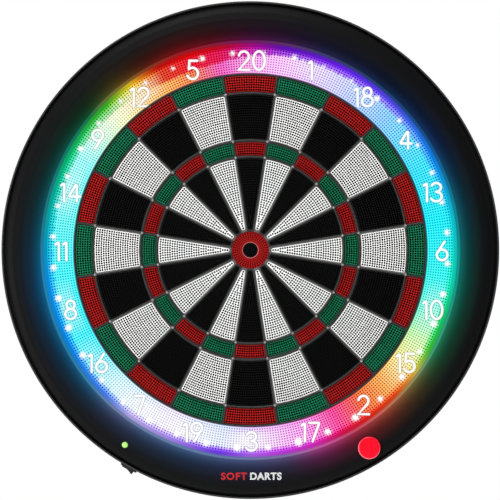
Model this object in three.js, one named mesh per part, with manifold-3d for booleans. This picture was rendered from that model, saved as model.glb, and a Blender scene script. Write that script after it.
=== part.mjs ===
// A round electronic soft-tip dartboard, 557 mm across, in millimetres.
//
// The pieces are built in a face frame: x to the right, y up and z forward from the wall.
// The last group turns that frame so that the board hangs upright: its front faces -Y, +Z is
// up, and the origin is the centre of the flat back that lies on the wall.
//
// Angles are clock angles: degrees clockwise from the top, as seen from the front.

import * as THREE from "three";
import { mergeVertices } from "three/addons/utils/BufferGeometryUtils.js";
import Module from "manifold-3d";

const wasm = await Module();
wasm.setup();

// ---------------------------------------------------------------- driving dimensions

// The target: inner and outer radius of each ring of segments.
const SECTOR_NUMBERS = [20, 1, 18, 4, 13, 6, 10, 15, 2, 17, 3, 19, 7, 16, 8, 11, 14, 9, 12, 5];
const SECTOR_DEGREES = 360 / SECTOR_NUMBERS.length;
const INNER_BULL_R = 8.1;
const OUTER_BULL = [8.5, 20.8];
const INNER_SINGLE = [22.4, 102.6];
const TRIPLE = [106.6, 120.6];
const OUTER_SINGLE = [125.0, 173.9];
const DOUBLE = [177.8, 195.2];

// The web between the segments.
const SPOKE_WIDTH = 3.6;
const WEB_CLEARANCE = 0.3;
const WEB_OUTER_R = 197.9;
const WEB_FLANGE = [196.7, 205];

// Heights above the wall plane, from the back to the front.
const BACK_WALL = 4;
const RIM_BACK = 9;
const RIM_FLOOR = 11.5;
const BACKING_BOARD = [12, 16];
const MEMBRANE = [16.3, 16.9];
const MAT = [17.2, 20];
const LED_BOARD = [20, 21.6];
const SEGMENT_FLANGE = [21.4, 23.2];
const WEB_BASE = 23.5;
const WEB_FLANGE_BASE = 21;
const SEGMENT_FACE = 35;
const WEB_FACE = 36;
const NUMBER_PLATE = [32, 34];
const GUIDE_FACE = 38;
const BEZEL_CREST = 42;
const BUTTON_FACE = 43.8;

// The rings round the target.
const NUMBER_RING = [198.5, 227.4];
const LIGHT_GUIDE = [227.9, 235.4];
const BEZEL = [235.9, 273.7];
const GROOVE_R = 276.5;
const CASE_R = 278.6;
const PLATEAU_R = 105;
const SHELL = 2.5;

// Screws that hold the two shells together, and the posts that keep the rim off the wall.
const SHELL_SCREWS = 8;
const SHELL_SCREW_R = 246;
const SPACER_POSTS = 4;
const SPACER_POST_R = 215;

// Controls.
const BUTTON_CLOCK = 149;
const BUTTON_R = 257.6;
const BUTTON_CAP_R = 12.5;
const BUTTON_COLLAR_R = 14.2;
const BUTTON_TAB = { width: 28.4, height: 12, low: 36.2, high: 37.5 };
const POWER_LED_CLOCK = 212.8;
const POWER_LED_R = 258.7;
const ROCKER_CLOCK = 209.2;
const ROCKER_HEIGHT = 22.5;
const ROCKER_TILT = 11.5;
const ROCKER_PLATE_FACE = 280.7;
const INLET_HEIGHT = 22;

// The hanger plate, let into the back above the centre.
const HANGER = { y: 66, width: 60, height: 44, low: 0.3, high: 1.8 };
const KEYHOLE = { y: 60, headR: 5.5, shankR: 2.7, rise: 14 };
const SCREW_POCKET = { width: 24, height: 34, wall: 2, roof: [10.2, 11.7] };

// Sides of the faceted circles.
const RING_SIDES = 64;
const WEB_SIDES = 60;
const BULL_SIDES = 32;
const PIN_SIDES = 16;
const SECTOR_ARC_STEPS = 3;

// ---------------------------------------------------------------- colours

const finish = (color, roughness, metalness = 0) =>
  new THREE.MeshStandardMaterial({ color, roughness, metalness });
const BLACK_PLASTIC = finish(0x1c1c1d, 0.55);
const WEB_PLASTIC = finish(0x454545, 0.45);
const SEGMENT_BLACK = finish(0x0f0f10, 0.6);
const SEGMENT_WHITE = finish(0xe6e6e4, 0.55);
const SEGMENT_RED = finish(0x8a1f1e, 0.5);
const BOARD_GREEN = finish(0x1f5b3a, 0.5);
const STEEL = finish(0xa9abad, 0.35, 0.9);

const LIT_DIFFUSER = finish(0xd9d4ff, 0.4);
LIT_DIFFUSER.emissive = new THREE.Color(0x6a5cff);
const CLEAR_GUIDE = finish(0xb9c8ff, 0.15);
CLEAR_GUIDE.emissive = new THREE.Color(0x3f63ff);

// ---------------------------------------------------------------- solids

const radians = THREE.MathUtils.degToRad;

// The point at a radius and a clock angle.
const clockPoint = (radius, degrees) => [
  radius * Math.sin(radians(degrees)),
  radius * Math.cos(radians(degrees)),
];

// A closed three.js geometry as a solid that can be joined and cut.
function solid(geometry) {
  const bare = geometry.index ? geometry.toNonIndexed() : geometry.clone();
  bare.deleteAttribute("normal");
  bare.deleteAttribute("uv");
  const merged = mergeVertices(bare, 1e-4);
  return new wasm.Manifold(
    new wasm.Mesh({
      numProp: 3,
      vertProperties: merged.attributes.position.array,
      triVerts: new Uint32Array(merged.index.array),
    }),
  );
}

const join = (first, ...others) => others.reduce((sum, other) => sum.add(other), first);
const cut = (first, ...others) => others.reduce((left, other) => left.subtract(other), first);

function geometryOf(body) {
  const mesh = body.getMesh();
  const geometry = new THREE.BufferGeometry();
  geometry.setAttribute("position", new THREE.BufferAttribute(mesh.vertProperties, 3));
  geometry.setIndex(new THREE.BufferAttribute(mesh.triVerts, 1));
  return geometry.toNonIndexed();
}

// A turned solid about the z axis from [radius, height] points, which run anticlockwise in
// the radius-height plane. It starts and ends on the axis, or closes on itself.
function turned(points, sides) {
  const closed = points[0][0] > 0;
  const profile = closed ? [...points, points[0]] : points;
  const geometry = new THREE.LatheGeometry(
    profile.map(([radius, height]) => new THREE.Vector2(radius, height)),
    sides,
  );
  geometry.rotateX(Math.PI / 2);
  return solid(geometry);
}

const ring = ([inner, outer], [low, high], sides) =>
  turned([[inner, low], [outer, low], [outer, high], [inner, high]], sides);

const disc = (radius, [low, high], sides) =>
  turned([[0, low], [radius, low], [radius, high], [0, high]], sides);

function slab(shape, [low, high]) {
  const geometry = new THREE.ExtrudeGeometry(shape, { depth: high - low, bevelEnabled: false });
  geometry.translate(0, 0, low);
  return solid(geometry);
}

function block(width, height, [x, y], [low, high]) {
  const geometry = new THREE.BoxGeometry(width, height, high - low);
  geometry.translate(x, y, (low + high) / 2);
  return solid(geometry);
}

function peg(radius, [x, y], [low, high], sides = PIN_SIDES) {
  const geometry = new THREE.CylinderGeometry(radius, radius, high - low, sides);
  geometry.rotateX(Math.PI / 2);
  geometry.translate(x, y, (low + high) / 2);
  return solid(geometry);
}

// A round bar along y, such as a socket that opens at the bottom of the rim.
function barAlongY(radius, [low, high], height) {
  const geometry = new THREE.CylinderGeometry(radius, radius, high - low, PIN_SIDES);
  geometry.translate(0, (low + high) / 2, height);
  return solid(geometry);
}

// Turns a solid built at the top of the board to its clock angle.
const atClock = (body, degrees) => body.rotate([0, 0, -degrees]);

// ---------------------------------------------------------------- target outlines

// One sector's outline between two radii, its sides parallel to the spokes beside it.
function sectorOutline([inner, outer], inset) {
  const half = radians(SECTOR_DEGREES / 2);
  const arc = (radius, steps, direction) => {
    const reach = half - Math.asin(inset / radius);
    return Array.from({ length: steps + 1 }, (_, i) => {
      const angle = direction * reach * ((2 * i) / steps - 1);
      return new THREE.Vector2(radius * Math.sin(angle), radius * Math.cos(angle));
    });
  };
  const innerSteps = inner < INNER_SINGLE[0] + 1 ? 1 : SECTOR_ARC_STEPS;
  return [...arc(outer, SECTOR_ARC_STEPS, 1), ...arc(inner, innerSteps, -1)];
}

function turnedOutline(points, degrees) {
  const centre = new THREE.Vector2(0, 0);
  return points.map((point) => point.clone().rotateAround(centre, -radians(degrees)));
}

function circleOutline(radius, sides) {
  return Array.from({ length: sides }, (_, i) => {
    const [x, y] = clockPoint(radius, (360 * i) / sides);
    return new THREE.Vector2(x, y);
  });
}

const widened = ([inner, outer], by) => [inner - by, outer + by];

// ---------------------------------------------------------------- target

// Two segments of one number on a shared flange, which the web keeps in from the front.
function segmentPair(outerBand, innerBand, flangeBand, clock) {
  const inset = SPOKE_WIDTH / 2 + WEB_CLEARANCE;
  const flangeInset = 1;
  const bodyHeights = [SEGMENT_FLANGE[0] + 0.5, SEGMENT_FACE];
  const outline = (band, by) => new THREE.Shape(turnedOutline(sectorOutline(band, by), clock));
  return join(
    slab(outline(flangeBand, flangeInset), SEGMENT_FLANGE),
    slab(outline(outerBand, inset), bodyHeights),
    slab(outline(innerBand, inset), bodyHeights),
  );
}

const outerPair = (clock) => segmentPair(DOUBLE, OUTER_SINGLE, [123.8, 196], clock);
const innerPair = (clock) => segmentPair(TRIPLE, INNER_SINGLE, [21.9, 121.8], clock);

function innerBull() {
  const flange = [SEGMENT_FLANGE[0], 22.8];
  return turned(
    [
      [0, flange[0]],
      [10, flange[0]],
      [10, flange[1]],
      [INNER_BULL_R, flange[1]],
      [INNER_BULL_R, SEGMENT_FACE],
      [0, SEGMENT_FACE],
    ],
    BULL_SIDES,
  );
}

// The outer bull is hollow below, so that it can be pressed without touching the inner bull.
function outerBull() {
  const [inner, outer] = OUTER_BULL;
  const pocket = { radius: 10.6, height: 24.4 };
  return turned(
    [
      [pocket.radius, SEGMENT_FLANGE[0]],
      [outer + 0.5, SEGMENT_FLANGE[0]],
      [outer + 0.5, SEGMENT_FLANGE[1]],
      [outer, SEGMENT_FLANGE[1]],
      [outer, SEGMENT_FACE],
      [inner, SEGMENT_FACE],
      [inner, pocket.height],
      [pocket.radius, pocket.height],
    ],
    BULL_SIDES,
  );
}

// The web is one moulding: spokes and circles, with a flange that sits on the case.
function web() {
  const heights = [WEB_BASE, WEB_FACE];
  const through = [WEB_BASE - 1, WEB_FACE + 1];
  const windows = SECTOR_NUMBERS.flatMap((_, i) =>
    [INNER_SINGLE, TRIPLE, OUTER_SINGLE, DOUBLE].map((band) => {
      const outline = sectorOutline(widened(band, WEB_CLEARANCE), SPOKE_WIDTH / 2);
      return slab(new THREE.Shape(turnedOutline(outline, i * SECTOR_DEGREES)), through);
    }),
  );
  return join(
    cut(ring([OUTER_BULL[1] + WEB_CLEARANCE, WEB_OUTER_R], heights, WEB_SIDES), ...windows),
    ring(WEB_FLANGE, [WEB_FLANGE_BASE, WEB_BASE], WEB_SIDES),
    ring([WEB_FLANGE[0], WEB_OUTER_R - 0.1], [WEB_FLANGE_BASE, WEB_BASE + 1], WEB_SIDES),
  );
}

// ---------------------------------------------------------------- rings and boards

function numberRing() {
  const [inner, outer] = NUMBER_RING;
  const [under, face] = NUMBER_PLATE;
  const skirt = 2;
  return turned(
    [
      [inner, 24],
      [inner + skirt, 24],
      [inner + skirt, under],
      [outer - skirt, under],
      [outer - skirt, 22],
      [outer, 22],
      [outer, face],
      [inner, face],
    ],
    RING_SIDES,
  );
}

function lightGuide() {
  const [inner, outer] = LIGHT_GUIDE;
  const chamfer = 1.5;
  return turned(
    [
      [inner, 22],
      [outer, 22],
      [outer, GUIDE_FACE],
      [inner + chamfer, GUIDE_FACE - 0.5],
      [inner, GUIDE_FACE - chamfer],
    ],
    RING_SIDES,
  );
}

function mainBoard() {
  const centre = [0, -30];
  const top = 7.8;
  const chip = block(14, 14, [-18, -24], [top - 0.4, 9.2]);
  const radio = block(18, 24, [26, -12], [top - 0.4, 10.2]);
  const socket = block(26, 6, [0, -56], [top - 0.4, 11.2]);
  const powerSocket = block(10, 8, [-40, -52], [top - 0.4, 11.2]);
  return join(block(110, 70, centre, [6.2, top]), chip, radio, socket, powerSocket);
}

// ---------------------------------------------------------------- case

function bezelProfile() {
  const [inner, outer] = BEZEL;
  return [
    [inner, 22.5],
    [inner + SHELL, 22.5],
    [inner + SHELL, BEZEL_CREST - 3.4],
    [241.5, BEZEL_CREST - SHELL],
    [257.5, BEZEL_CREST - SHELL - 0.3],
    [264.6, 37.9],
    [268.9, 36.2],
    [outer - SHELL, 33.4],
    [outer - SHELL, 28.3],
    [outer, 28.3],
    [outer, 34.2],
    [271, 37.4],
    [266, 40],
    [258, BEZEL_CREST - 0.3],
    [241, BEZEL_CREST],
    [237.4, BEZEL_CREST - 0.8],
    [inner, BEZEL_CREST - 2.5],
  ];
}

const shellScrewClocks = Array.from(
  { length: SHELL_SCREWS },
  (_, i) => ((i + 0.5) * 360) / SHELL_SCREWS,
);

function frontBezel() {
  const buttonAt = clockPoint(BUTTON_R, BUTTON_CLOCK);
  const ledAt = clockPoint(POWER_LED_R, POWER_LED_CLOCK);
  const posts = shellScrewClocks.map((clock) =>
    peg(3.5, clockPoint(SHELL_SCREW_R, clock), [13.5, BEZEL_CREST - 2], 8),
  );
  const collar = peg(BUTTON_COLLAR_R, buttonAt, [38, BEZEL_CREST], 32);
  const shell = join(turned(bezelProfile(), RING_SIDES), collar, ...posts);
  const buttonHole = peg(BUTTON_CAP_R + 0.4, buttonAt, [30, 50], 32);
  const ledHole = peg(3.5, ledAt, [30, 50], PIN_SIDES);
  return cut(shell, buttonHole, ledHole);
}

function housingProfile() {
  return [
    [0, 0],
    [PLATEAU_R, 0],
    [112, RIM_BACK],
    [262, RIM_BACK],
    [271, 11.5],
    [276.6, 16.5],
    [CASE_R, 21],
    [CASE_R, 34],
    [GROOVE_R, 34],
    [GROOVE_R, 28],
    [266, 28],
    [266, 26],
    [274.5, 26],
    [274.5, 20],
    [270, 14],
    [262, RIM_FLOOR],
    [231.5, RIM_FLOOR],
    [231.5, 19.7],
    [229, 19.7],
    [229, RIM_FLOOR],
    [204, RIM_FLOOR],
    [204, 20.7],
    [201.5, 20.7],
    [201.5, RIM_FLOOR],
    [113, RIM_FLOOR],
    [106.5, BACK_WALL],
    [0, BACK_WALL],
  ];
}

// The switch and its pocket lie on the rim, built at the top of the board and then turned.
function rimBlock(width, [inner, outer], [low, high]) {
  return block(width, outer - inner, [0, (inner + outer) / 2], [low, high]);
}

function ventSlots() {
  const slots = [];
  for (const side of [-1, 1]) {
    for (let row = 0; row < 5; row += 1) {
      slots.push(block(34, 3, [side * 50, 34 - row * 7], [-1, BACK_WALL + 1]));
    }
  }
  return slots;
}

function rearHousing() {
  const spacers = Array.from({ length: SPACER_POSTS }, (_, i) =>
    peg(9, clockPoint(SPACER_POST_R, 45 + i * 90), [1.2, RIM_BACK + 1], 16),
  );
  const boardPosts = [[-51, -61], [51, -61], [-51, 1], [51, 1]].map((at) =>
    peg(3, at, [BACK_WALL - 1, 5.9], 8),
  );
  const buttonPost = peg(9, clockPoint(BUTTON_R, BUTTON_CLOCK), [RIM_FLOOR - 1, 23.7], 12);
  const { width, height, wall, roof } = SCREW_POCKET;
  const hangerY = [0, HANGER.y];
  const screwPocket = block(width + 2 * wall, height + 2 * wall, hangerY, [BACK_WALL - 1, roof[1]]);
  const body = turned(housingProfile(), RING_SIDES);
  const shell = join(body, ...spacers, ...boardPosts, buttonPost, screwPocket);

  const screwHoles = shellScrewClocks.map((clock) =>
    peg(4.2, clockPoint(SHELL_SCREW_R, clock), [RIM_BACK - 1, RIM_FLOOR + 1], 12),
  );
  const hangerSeat = block(HANGER.width + 0.8, HANGER.height + 0.8, hangerY, [-1, 2.1]);
  const hangerWindow = block(width, height, hangerY, [-1, roof[0]]);
  const switchHeights = [ROCKER_HEIGHT - 5.4, ROCKER_HEIGHT + 5.4];
  const switchHole = atClock(rimBlock(18, [255, 290], switchHeights), ROCKER_CLOCK);
  const inletHole = barAlongY(5.9, [-290, -262], INLET_HEIGHT);
  const buttonWell = peg(14, clockPoint(BUTTON_R, BUTTON_CLOCK), [25, 29], 24);
  return cut(
    shell,
    ...screwHoles,
    hangerSeat,
    hangerWindow,
    switchHole,
    inletHole,
    buttonWell,
    ...ventSlots(),
  );
}

function hangerPlate() {
  const heights = [HANGER.low, HANGER.high];
  const through = [HANGER.low - 1, HANGER.high + 1];
  const slotMiddle = [0, KEYHOLE.y + KEYHOLE.rise / 2];
  return cut(
    block(HANGER.width, HANGER.height, [0, HANGER.y], heights),
    peg(KEYHOLE.headR, [0, KEYHOLE.y], through, 24),
    block(2 * KEYHOLE.shankR, KEYHOLE.rise, slotMiddle, through),
    peg(KEYHOLE.shankR, [0, KEYHOLE.y + KEYHOLE.rise], through, PIN_SIDES),
  );
}

// ---------------------------------------------------------------- controls

function buttonCap() {
  const { width, height, low, high } = BUTTON_TAB;
  const at = clockPoint(BUTTON_R, BUTTON_CLOCK);
  const face = peg(BUTTON_CAP_R, at, [low, BUTTON_FACE], 32);
  const tabs = atClock(block(width, height, [0, BUTTON_R], [low, high]), BUTTON_CLOCK);
  return join(face, tabs);
}

function buttonSwitch() {
  const at = clockPoint(BUTTON_R, BUTTON_CLOCK);
  const board = peg(11, at, [24, 25.6], 24);
  const body = atClock(block(12, 12, [0, BUTTON_R], [25, 29.3]), BUTTON_CLOCK);
  const plunger = peg(3.4, at, [29, 33.8], 12);
  return join(board, body, plunger);
}

// The return spring stands on the switch's board, round the switch body.
function buttonSpring() {
  const turns = 4;
  const coilR = 9.4;
  const wireR = 0.5;
  const low = 26.5;
  const high = 35.3;
  class Helix extends THREE.Curve {
    getPoint(t) {
      const angle = 2 * Math.PI * turns * t;
      const height = low + (high - low) * t;
      return new THREE.Vector3(coilR * Math.cos(angle), coilR * Math.sin(angle), height);
    }
  }
  const section = new THREE.Shape(circleOutline(wireR, 5).reverse());
  const geometry = new THREE.ExtrudeGeometry(section, {
    extrudePath: new Helix(),
    steps: turns * 12,
    bevelEnabled: false,
  });
  const [x, y] = clockPoint(BUTTON_R, BUTTON_CLOCK);
  geometry.translate(x, y, 0);
  return solid(geometry);
}

function powerLedLens() {
  const [x, y] = clockPoint(POWER_LED_R, POWER_LED_CLOCK);
  const lens = turned(
    [
      [0, 34],
      [4.6, 34],
      [4.6, 36],
      [3.15, 36],
      [3.15, 42],
      [2.2, 42.8],
      [0, 43.1],
    ],
    PIN_SIDES,
  );
  return lens.translate([x, y, 0]);
}

function powerSwitchBody() {
  const plateLow = ROCKER_HEIGHT - 6;
  const plateHigh = ROCKER_HEIGHT + 6;
  const back = 263;
  const plate = rimBlock(20, [278.95, ROCKER_PLATE_FACE], [plateLow, plateHigh]);
  const body = rimBlock(17.4, [back, 279.5], [ROCKER_HEIGHT - 5.1, ROCKER_HEIGHT + 5.1]);
  const pocket = rimBlock(15.8, [270, 290], [ROCKER_HEIGHT - 4.1, ROCKER_HEIGHT + 4.1]);
  const terminals = [-5, 0, 5].map((x) =>
    block(2, 4, [x, back - 1.5], [ROCKER_HEIGHT - 0.4, ROCKER_HEIGHT + 0.4]),
  );
  return atClock(cut(join(plate, body, ...terminals), pocket), ROCKER_CLOCK);
}

// The rocker has two wings that rise from its middle. One wing lies level with the plate and
// the other stands up, on the side towards the bottom of the board.
function powerSwitchRocker() {
  const wing = 7.2;
  const pivot = ROCKER_PLATE_FACE - 1;
  const outline = [
    [-wing, 4],
    [-wing, -1],
    [-3.2, -5],
    [3.2, -5],
    [wing, -1],
    [wing, 4],
    [0, 2.5],
  ].map(([x, y]) => new THREE.Vector2(x, y));
  const heights = [ROCKER_HEIGHT - 3.8, ROCKER_HEIGHT + 3.8];
  const rocker = slab(new THREE.Shape(outline), heights);
  const tilted = rocker.rotate([0, 0, -ROCKER_TILT]).translate([0, pivot, 0]);
  return atClock(tilted, ROCKER_CLOCK);
}

function powerInlet() {
  const mouth = -277.6;
  const barrel = barAlongY(5.5, [mouth, -261], INLET_HEIGHT);
  const nut = barAlongY(7.4, [-265.3, -263.3], INLET_HEIGHT);
  const socket = barAlongY(3.3, [mouth - 1, mouth + 9.5], INLET_HEIGHT);
  return cut(join(barrel, nut), socket);
}

// ---------------------------------------------------------------- assembly

const board = new THREE.Group();

function add(name, body, material) {
  const mesh = new THREE.Mesh(geometryOf(body), material);
  mesh.name = name;
  board.add(mesh);
}

add("rear_housing", rearHousing(), BLACK_PLASTIC);
add("front_bezel", frontBezel(), BLACK_PLASTIC);
add("light_guide_ring", lightGuide(), CLEAR_GUIDE);
add("number_ring", numberRing(), LIT_DIFFUSER);
add("led_board", ring([208, 231], LED_BOARD, RING_SIDES), BOARD_GREEN);
add("web", web(), WEB_PLASTIC);
add("rubber_mat", disc(196, MAT, WEB_SIDES), finish(0x242424, 0.9));
add("switch_membrane", disc(197, MEMBRANE, WEB_SIDES), finish(0xc8b27a, 0.4));
add("backing_board", disc(200, BACKING_BOARD, WEB_SIDES), finish(0x6b4a2e, 0.85));
add("main_board", mainBoard(), BOARD_GREEN);
add("button_cap", buttonCap(), finish(0xf00023, 0.35));
add("button_spring", buttonSpring(), STEEL);
add("button_switch", buttonSwitch(), finish(0x17181a, 0.5));
add("power_led_lens", powerLedLens(), finish(0xa0e16e, 0.15));
add("power_switch_body", powerSwitchBody(), BLACK_PLASTIC);
add("power_switch_rocker", powerSwitchRocker(), BLACK_PLASTIC);
add("power_inlet", powerInlet(), BLACK_PLASTIC);
add("hanger_plate", hangerPlate(), STEEL);
add("inner_bull", innerBull(), SEGMENT_BLACK);
add("outer_bull", outerBull(), SEGMENT_RED);

SECTOR_NUMBERS.forEach((number, i) => {
  const label = String(number).padStart(2, "0");
  const material = i % 2 === 0 ? SEGMENT_BLACK : SEGMENT_WHITE;
  add(`double_and_outer_single_${label}`, outerPair(i * SECTOR_DEGREES), material);
  add(`triple_and_inner_single_${label}`, innerPair(i * SECTOR_DEGREES), material);
});

const hung = new THREE.Group();
board.rotation.x = Math.PI / 2;
hung.add(board);

export default hung;
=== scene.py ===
"""The looks of a round electronic soft-tip dartboard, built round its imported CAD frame.

Shapes are made in a face frame, in millimetres: x to the right, y up, and height forward from
the wall. A clock angle is in degrees clockwise from the top, as seen from the front.
"""

import math

import bpy
import numpy as np
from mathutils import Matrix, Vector
from mathutils.geometry import delaunay_2d_cdt


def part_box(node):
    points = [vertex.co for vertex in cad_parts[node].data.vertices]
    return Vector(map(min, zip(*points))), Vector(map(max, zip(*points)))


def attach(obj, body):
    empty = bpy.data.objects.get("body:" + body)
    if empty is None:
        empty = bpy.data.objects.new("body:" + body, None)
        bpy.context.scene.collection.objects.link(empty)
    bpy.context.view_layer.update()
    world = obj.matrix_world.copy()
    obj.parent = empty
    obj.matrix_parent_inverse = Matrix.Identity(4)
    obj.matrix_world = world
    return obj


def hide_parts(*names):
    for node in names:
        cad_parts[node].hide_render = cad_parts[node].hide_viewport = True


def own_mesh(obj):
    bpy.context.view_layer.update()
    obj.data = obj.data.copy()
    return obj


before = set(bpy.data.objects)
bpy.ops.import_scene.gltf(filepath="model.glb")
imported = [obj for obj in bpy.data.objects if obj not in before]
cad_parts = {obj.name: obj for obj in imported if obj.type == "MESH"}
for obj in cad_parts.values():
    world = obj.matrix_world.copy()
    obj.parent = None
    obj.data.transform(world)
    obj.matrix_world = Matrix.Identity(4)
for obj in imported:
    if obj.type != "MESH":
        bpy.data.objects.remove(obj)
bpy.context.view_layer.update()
MM = 0.001


def outer_radius(node):
    """How far a CAD node reaches from the board's axis, in mm."""
    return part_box(node)[1].x / MM


def height_range(node):
    """The lowest and highest height of a CAD node above the wall, in mm."""
    low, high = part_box(node)
    return -high.y / MM, -low.y / MM


# ---- sizes, in mm

SECTOR_NUMBERS = [20, 1, 18, 4, 13, 6, 10, 15, 2, 17, 3, 19, 7, 16, 8, 11, 14, 9, 12, 5]
SECTOR_DEGREES = 360 / len(SECTOR_NUMBERS)
HALF_SECTOR = math.radians(SECTOR_DEGREES / 2)

# Each ring of segments: inner and outer radius, distance between the holes of a row, and
# whether all its rows hold the same count.
BANDS = {
    "double": (177.2, 195.4, 2.62, True),
    "outer_single": (124.4, 174.4, 2.55, False),
    "triple": (106.0, 120.9, 2.62, True),
    "inner_single": (23.3, 103.0, 2.74, False),
}
OUTER_BULL = (8.5, 20.8)
INNER_BULL = 8.1
SPOKE_WIDTH = 2.8
CLEARANCE = 0.2
SEGMENT_CORNER = 1.6

# Dart holes: distance between rows, least distance in a row, and from an edge to the first.
ROW_PITCH = 2.68
CLOSEST_PITCH = 2.48
HOLE_MARGIN = 2.25
HOLE_SIDES = 8
HOLE_RINGS = [(1.24, 0.0), (1.18, 0.1), (1.15, 6.0)]
# The outer bull's rings of 40 holes: radius, and width against that of the usual hole.
BULL_HOLES = [(10.4, 0.48), (12.5, 0.6), (14.6, 0.71), (16.7, 0.78), (18.8, 0.81)]

SEGMENT_BASE = 21.4
SEGMENT_FACE = height_range("inner_bull")[1]
WEB_FACE = height_range("web")[1]
WEB_BASE = 23.5
WEB_OUTER = 197.9
WEB_FLANGE = (196.7, outer_radius("web"))
WEB_FLANGE_BASE = height_range("web")[0]

NUMBER_RING = (198.5, outer_radius("number_ring"))
NUMBER_FACE = height_range("number_ring")[1]
GUIDE = (227.9, outer_radius("light_guide_ring"))
GUIDE_FACE = height_range("light_guide_ring")[1]
BEZEL = (235.9, outer_radius("front_bezel"))
BEZEL_CREST = height_range("front_bezel")[1]
CASE_RADIUS = outer_radius("rear_housing")
RIM_BACK = 9.0
RIM_FLOOR = 11.5

BUTTON_AT = (257.6, 149.0)
BUTTON_FACE = height_range("button_cap")[1]
BUTTON_RADIUS = 12.5
LENS_AT = (258.7, 212.8)
ROCKER_CLOCK = 209.2
ROCKER_HEIGHT = 22.5
ROCKER_TILT = 11.5
PLATE_BACK = 278.95
PLATE_FACE = 280.7
INLET_HEIGHT = 22.0
LETTERING_BASE = 256.0
SCREW_CLOCKS = [22.5 + 45 * i for i in range(8)]
SCREW_RADIUS = 246.0
# Radius of a screw's tunnel in the case, and its least and greatest height.
SCREW_TUNNEL = (3.9, 7.0, 21.0)
PAD_CLOCKS = [45 + 90 * i for i in range(4)]
PAD_RADIUS = 215.0
HANGER_AT = (0, 66)

LED_COUNT = 40
LED_STEP = 360 / LED_COUNT
FIRST_LED = 3.9
LED_RADIUS = 221.0

# The sides of a large circle, and the least angle between faces whose edge shades as sharp.
FINE = 240
SHARP_ANGLE = math.radians(40)
# How far the floor lies below the board's axis.
FLOOR_DEPTH = 900.0


# ---- outlines


def polar(radius, clock):
    """The point at a radius and a clock angle."""
    angle = math.radians(clock)
    return radius * math.sin(angle), radius * math.cos(angle)


def circle(radius, sides, centre=(0.0, 0.0), start=0.0):
    """A circle's points, anticlockwise."""
    angles = [start + 2 * math.pi * i / sides for i in range(sides)]
    return [(centre[0] + radius * math.cos(a), centre[1] + radius * math.sin(a)) for a in angles]


def fillet(corner, before, after, radius, steps):
    """The arc that rounds a corner, from the side of the point before it to the one after."""
    corner = Vector(corner)
    back = (Vector(before) - corner).normalized()
    ahead = (Vector(after) - corner).normalized()
    half = back.angle(ahead) / 2
    reach = radius / math.tan(half)
    middle = corner + (back + ahead).normalized() * radius / math.sin(half)
    start = corner + back * reach - middle
    sweep = start.angle_signed(corner + ahead * reach - middle)
    first = math.atan2(start.y, start.x)
    angles = [first - sweep * i / steps for i in range(steps + 1)]
    return [(middle.x + radius * math.cos(a), middle.y + radius * math.sin(a)) for a in angles]


def rounded(corners, radius, steps=4, closed=True):
    """A polygon with rounded corners. A corner may give its own radius as a third number."""
    points = []
    last = len(corners) - 1
    for i, corner in enumerate(corners):
        wanted = corner[2] if len(corner) > 2 else radius
        here = Vector(corner[:2])
        before = Vector(corners[i - 1][:2])
        after = Vector(corners[(i + 1) % len(corners)][:2])
        if wanted == 0 or (not closed and i in (0, last)):
            points.append(tuple(here))
            continue
        half = (before - here).angle(after - here) / 2
        room = 0.49 * min((before - here).length, (after - here).length)
        points += fillet(here, before, after, min(wanted, room * math.tan(half)), steps)
    return points


def sector(inner, outer, inset, corner, arc_steps=10, corner_steps=3):
    """The outline of a segment at the top of the board, its sides parallel to the spokes."""

    def at(radius, side, back=0.0):
        angle = side * (HALF_SECTOR - math.asin(inset / radius) - back * corner / radius)
        return radius * math.sin(angle), radius * math.cos(angle)

    def arc(radius, side):
        reach = HALF_SECTOR - math.asin(inset / radius) - 1.2 * corner / radius
        angles = [side * reach * (1 - 2 * i / arc_steps) for i in range(arc_steps + 1)]
        return [(radius * math.sin(a), radius * math.cos(a)) for a in angles]

    def turn(radius, side, before, after):
        return fillet(at(radius, side), before, after, corner, corner_steps)

    outline = arc(outer, 1)
    outline += turn(outer, -1, at(outer, -1, 1), at(inner, -1))
    outline += turn(inner, -1, at(outer, -1), at(inner, -1, 1))
    if inner * HALF_SECTOR - inset > 2 * corner:
        outline += arc(inner, -1)
    outline += turn(inner, 1, at(inner, 1, 1), at(outer, 1))
    outline += turn(outer, 1, at(inner, 1), at(outer, 1, 1))
    return outline


def hole_grid(inner, outer, pitch, equal_rows):
    """The centres of a segment's holes: rows along arcs, spread evenly across each row."""
    inset = SPOKE_WIDTH / 2 + CLEARANCE

    def reach(radius):
        return radius * (HALF_SECTOR - math.asin(inset / radius)) - HOLE_MARGIN

    depth = outer - inner - 2 * HOLE_MARGIN
    rows = round(depth / ROW_PITCH)
    centres = []
    for row in range(rows + 1):
        radius = inner + HOLE_MARGIN + depth * row / rows
        width = max(0.0, 2 * reach((inner + outer) / 2 if equal_rows else radius))
        gaps = min(round(width / pitch), int(width / CLOSEST_PITCH))
        for k in range(gaps + 1):
            angle = reach(radius) * (2 * k / gaps - 1) / radius if gaps else 0.0
            centres.append((radius * math.sin(angle), radius * math.cos(angle)))
    return centres


def inside(outline, x, y):
    """Whether a point lies inside an outline."""
    crossings = False
    for i, (ax, ay) in enumerate(outline):
        bx, by = outline[i - 1]
        if (ay > y) != (by > y) and x < (bx - ax) * (y - ay) / (by - ay) + ax:
            crossings = not crossings
    return crossings


SCREWS = [polar(SCREW_RADIUS, clock) for clock in SCREW_CLOCKS]
PADS = [polar(PAD_RADIUS, clock) for clock in PAD_CLOCKS]


# ---- shells


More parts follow.
